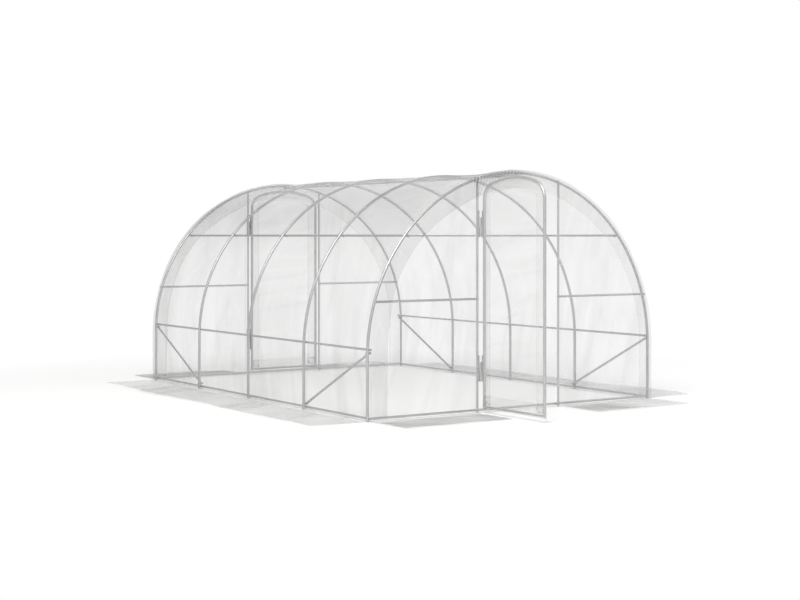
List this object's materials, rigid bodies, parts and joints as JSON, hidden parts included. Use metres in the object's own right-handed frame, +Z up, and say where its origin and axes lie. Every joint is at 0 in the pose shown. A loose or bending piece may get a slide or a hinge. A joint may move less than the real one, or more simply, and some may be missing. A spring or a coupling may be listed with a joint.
{
  "type": "polytunnel greenhouse",
  "caption": "Walk-in polytunnel greenhouse: half-round tube hoops under a clear film cover, with an arched hinged door in each end and film skirts on the ground.",
  "frame": {"origin": "on the ground, at the middle of the plan that the tunnel, its ground film and the open front door cover", "axes": "+Z up, +Y along the tunnel from the front door towards the back door, +X to the right seen from the front"},
  "size_m": [4.072, 5.4136, 2.0158],
  "materials": {
    "galvanised_tube": "light grey galvanised steel tube, satin",
    "clear_film": "clear, slightly milky polyethylene film, soft gloss",
    "hinge_steel": "mid-grey zinc-plated steel, satin"
  },
  "bodies": {
    "tunnel": {"front_hoop": "galvanised_tube", "second_hoop": "galvanised_tube", "middle_hoop": "galvanised_tube", "fourth_hoop": "galvanised_tube", "back_hoop": "galvanised_tube", "ridge_tube": "galvanised_tube", "upper_purlin_left": "galvanised_tube", "upper_purlin_right": "galvanised_tube", "lower_purlin_left": "galvanised_tube", "lower_purlin_right": "galvanised_tube", "ground_rail_left": "galvanised_tube", "ground_rail_right": "galvanised_tube", "ground_rail_front": "galvanised_tube", "ground_rail_back": "galvanised_tube", "braces_left": "galvanised_tube", "braces_right": "galvanised_tube", "front_door_posts": "galvanised_tube", "back_door_posts": "galvanised_tube", "front_gable_bars": "galvanised_tube", "back_gable_bars": "galvanised_tube", "film_wall_left": "clear_film", "film_arch_left": "clear_film", "film_crown": "clear_film", "film_arch_right": "clear_film", "film_wall_right": "clear_film", "front_film_left": "clear_film", "front_film_right": "clear_film", "front_film_over_door": "clear_film", "back_film_left": "clear_film", "back_film_right": "clear_film", "back_film_over_door": "clear_film", "skirt_left": "clear_film", "skirt_right": "clear_film", "skirt_front_left": "clear_film", "skirt_front_right": "clear_film", "skirt_back": "clear_film", "front_post_leaves": "hinge_steel", "back_post_leaves": "hinge_steel"},
    "front_door": {"front_door_frame": "galvanised_tube", "front_door_film": "clear_film", "front_door_leaves": "hinge_steel"},
    "back_door": {"back_door_frame": "galvanised_tube", "back_door_film": "clear_film", "back_door_leaves": "hinge_steel"}
  },
  "joints": [
    {"name": "front_door_hinge", "type": "hinge", "parent": "tunnel", "child": "front_door", "pos_m": [-0.41375, -1.89057, 0.97], "axis": [0, 0, 1], "range_deg": [-80, 90]},
    {"name": "back_door_hinge", "type": "hinge", "parent": "tunnel", "child": "back_door", "pos_m": [-0.41375, 2.19183, 0.97], "axis": [0, 0, 1], "range_deg": [0, 170]}
  ]
}
